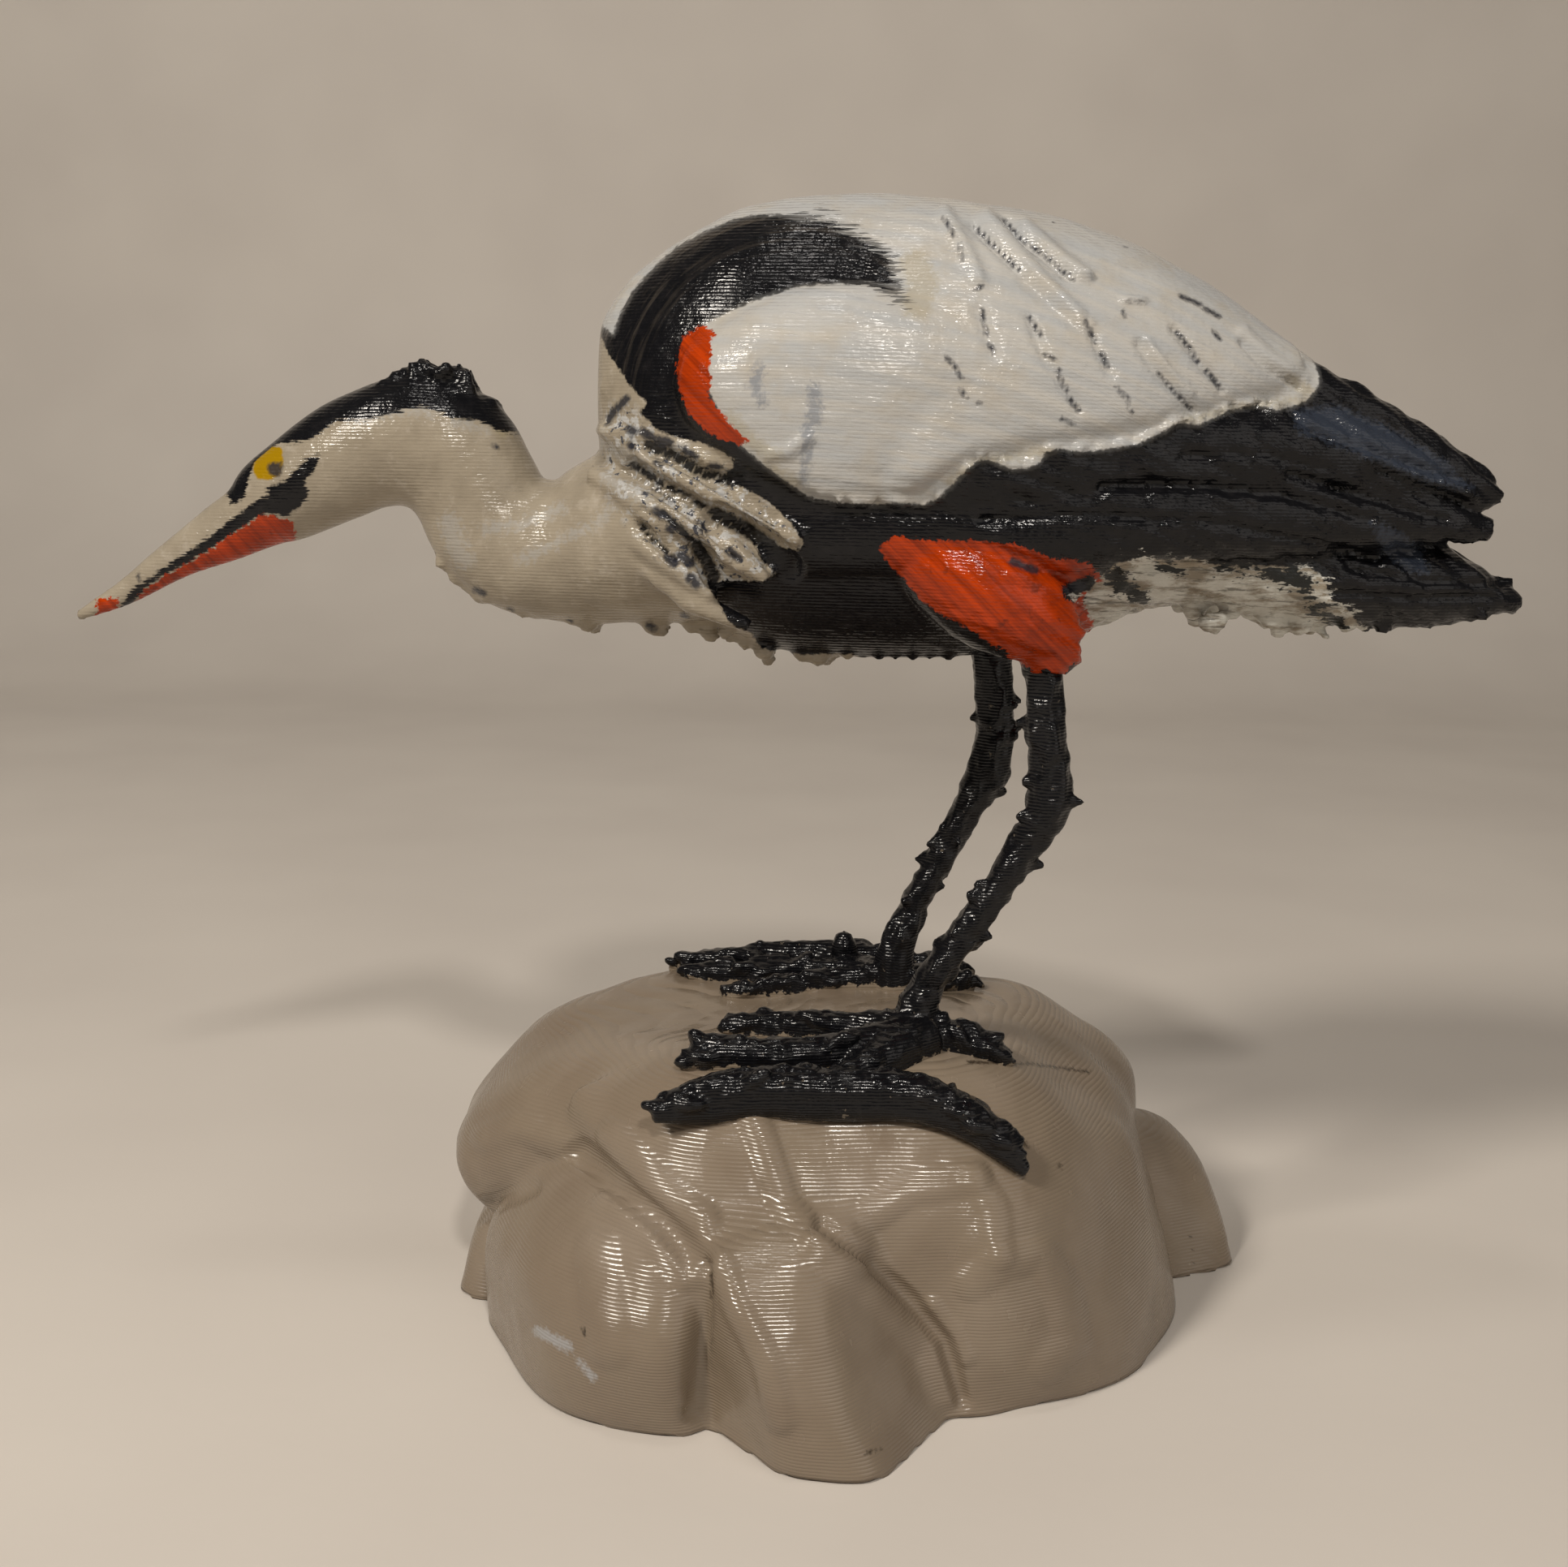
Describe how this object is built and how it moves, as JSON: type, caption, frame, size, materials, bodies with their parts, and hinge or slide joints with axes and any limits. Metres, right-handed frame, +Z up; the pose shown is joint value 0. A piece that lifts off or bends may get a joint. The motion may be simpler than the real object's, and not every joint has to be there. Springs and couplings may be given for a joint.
{
  "type": "heron sculpture",
  "caption": "Printed and painted figurine of a heron stalking with its neck stretched low, standing on a rounded boulder with a flat underside.",
  "frame": {"origin": "middle of the boulder's flat underside", "axes": "+X towards the tail, with the bill towards -X; +Y towards the bird's right side; +Z up"},
  "size_m": [0.1488, 0.0756, 0.1166],
  "materials": {
    "painted_print": "hand painted in gloss acrylic over a printed plastic body: white wings, black flight feathers, legs and feet, orange thighs, cream neck and a taupe boulder"
  },
  "bodies": {
    "root": {"heron_on_boulder": "painted_print"}
  },
  "joints": []
}
